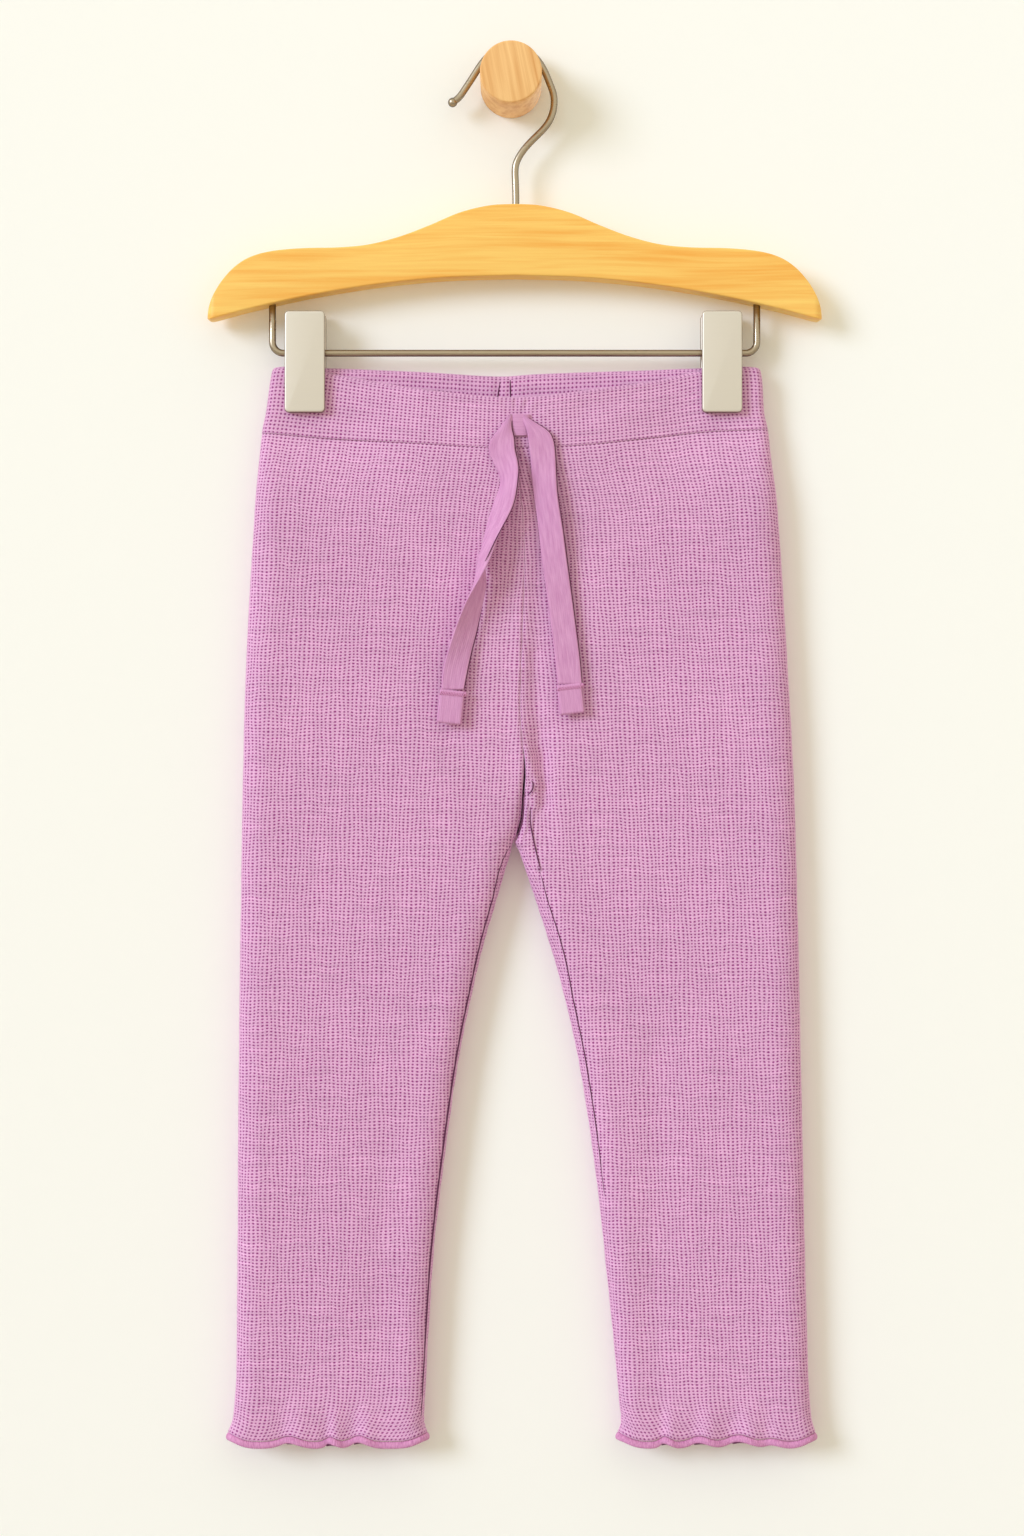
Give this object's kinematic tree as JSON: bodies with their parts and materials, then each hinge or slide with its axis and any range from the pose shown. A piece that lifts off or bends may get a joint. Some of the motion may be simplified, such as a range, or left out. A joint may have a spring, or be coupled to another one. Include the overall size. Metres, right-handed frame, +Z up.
{
  "type": "child's leggings on a clip hanger and wall peg",
  "caption": "Child's waffle-knit leggings with a tape drawstring and ruffled hems, hung by clips from a wooden hanger on a wall peg.",
  "frame": {"origin": "middle of the wall peg's back face, on the wall", "axes": "+Z up, -Y towards the room, +X to the viewer's right, the wearer's left"},
  "size_m": [0.3008, 0.0315, 0.6871],
  "materials": {
    "cloth": "soft cotton waffle knit, mauve pink, matt",
    "hem_thread": "close overlock stitching, a little deeper pink",
    "tape": "fine flat cotton tape, matt",
    "hanger_wood": "clear satin lacquer, long grain",
    "peg_wood": "oiled, end grain to the front",
    "steel_wire": "bright drawn wire",
    "clip_metal": "satin nickel"
  },
  "bodies": {
    "root": {"leg_right_front": "cloth", "leg_right_back": "cloth", "leg_left_front": "cloth", "leg_left_back": "cloth", "waistband_front": "cloth", "waistband_back": "cloth", "hem_right": "hem_thread", "hem_left": "hem_thread", "drawstring_tail_right": "tape", "drawstring_tail_left": "tape", "drawstring_tab_right": "tape", "drawstring_tab_left": "tape", "drawstring_bridge": "tape", "hanger_board": "hanger_wood", "hook": "steel_wire", "clip_bar": "steel_wire", "clip_right_spring": "steel_wire", "clip_left_spring": "steel_wire", "clip_right_front": "clip_metal", "clip_right_back": "clip_metal", "clip_left_front": "clip_metal", "clip_left_back": "clip_metal", "peg": "peg_wood"}
  },
  "joints": []
}
